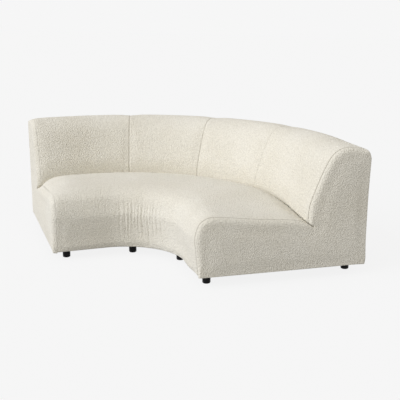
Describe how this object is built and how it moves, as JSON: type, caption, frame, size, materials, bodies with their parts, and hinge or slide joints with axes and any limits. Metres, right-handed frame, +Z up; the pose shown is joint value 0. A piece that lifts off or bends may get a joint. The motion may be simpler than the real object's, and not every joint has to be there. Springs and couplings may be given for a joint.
{
  "type": "curved sofa",
  "caption": "Armless curved sofa with a crowned one-piece seat, a rounded padded back and short round legs, all under a looped cream fabric.",
  "frame": {"origin": "on the floor, under the middle of the box round the whole sofa", "axes": "+X to the right along the sofa's length, seen from in front; +Y from the hollow front to the back; +Z up"},
  "size_m": [2.5314, 1.4046, 0.7662],
  "materials": {
    "boucle": "cream boucle, looped pile, matte",
    "foam": "open-cell upholstery foam, matte",
    "wadding": "polyester wadding, matte",
    "plywood": "bare birch plywood",
    "hardboard": "bare bent hardboard",
    "elastic_webbing": "woven elastic webbing",
    "leg_plastic": "black, satin, moulded",
    "bolt_steel": "zinc-plated steel",
    "nonwoven": "black non-woven cloth"
  },
  "bodies": {
    "root": {"leg_front_left": "leg_plastic", "leg_front_mid_left": "leg_plastic", "leg_front_mid_right": "leg_plastic", "leg_front_right": "leg_plastic", "leg_rear_left": "leg_plastic", "leg_rear_mid_left": "leg_plastic", "leg_rear_mid_right": "leg_plastic", "leg_rear_right": "leg_plastic", "leg_bolt_front_left": "bolt_steel", "leg_bolt_front_mid_left": "bolt_steel", "leg_bolt_front_mid_right": "bolt_steel", "leg_bolt_front_right": "bolt_steel", "leg_bolt_rear_left": "bolt_steel", "leg_bolt_rear_mid_left": "bolt_steel", "leg_bolt_rear_mid_right": "bolt_steel", "leg_bolt_rear_right": "bolt_steel", "front_base_rail": "plywood", "rear_base_rail": "plywood", "front_deck_rail": "plywood", "rear_deck_rail": "plywood", "back_top_rail": "plywood", "rib_left_end": "plywood", "rib_left_seam": "plywood", "rib_middle": "plywood", "rib_right_seam": "plywood", "rib_right_end": "plywood", "front_board": "hardboard", "inner_back_board": "hardboard", "outer_back_board": "hardboard", "webbing_strap_1": "elastic_webbing", "webbing_strap_2": "elastic_webbing", "webbing_strap_3": "elastic_webbing", "webbing_strap_4": "elastic_webbing", "webbing_strap_5": "elastic_webbing", "webbing_strap_6": "elastic_webbing", "webbing_strap_7": "elastic_webbing", "webbing_strap_8": "elastic_webbing", "webbing_strap_9": "elastic_webbing", "webbing_strap_10": "elastic_webbing", "webbing_strap_11": "elastic_webbing", "webbing_strap_12": "elastic_webbing", "seat_foam": "foam", "back_foam_1": "foam", "back_foam_2": "foam", "back_foam_3": "foam", "back_foam_4": "foam", "end_padding_left": "foam", "end_padding_right": "foam", "outer_back_padding": "wadding", "seat_cover": "boucle", "back_cover_1": "boucle", "back_cover_2": "boucle", "back_cover_3": "boucle", "back_cover_4": "boucle", "outer_back_cover": "boucle", "end_cover_left": "boucle", "end_cover_right": "boucle", "dust_cover": "nonwoven"}
  },
  "joints": []
}
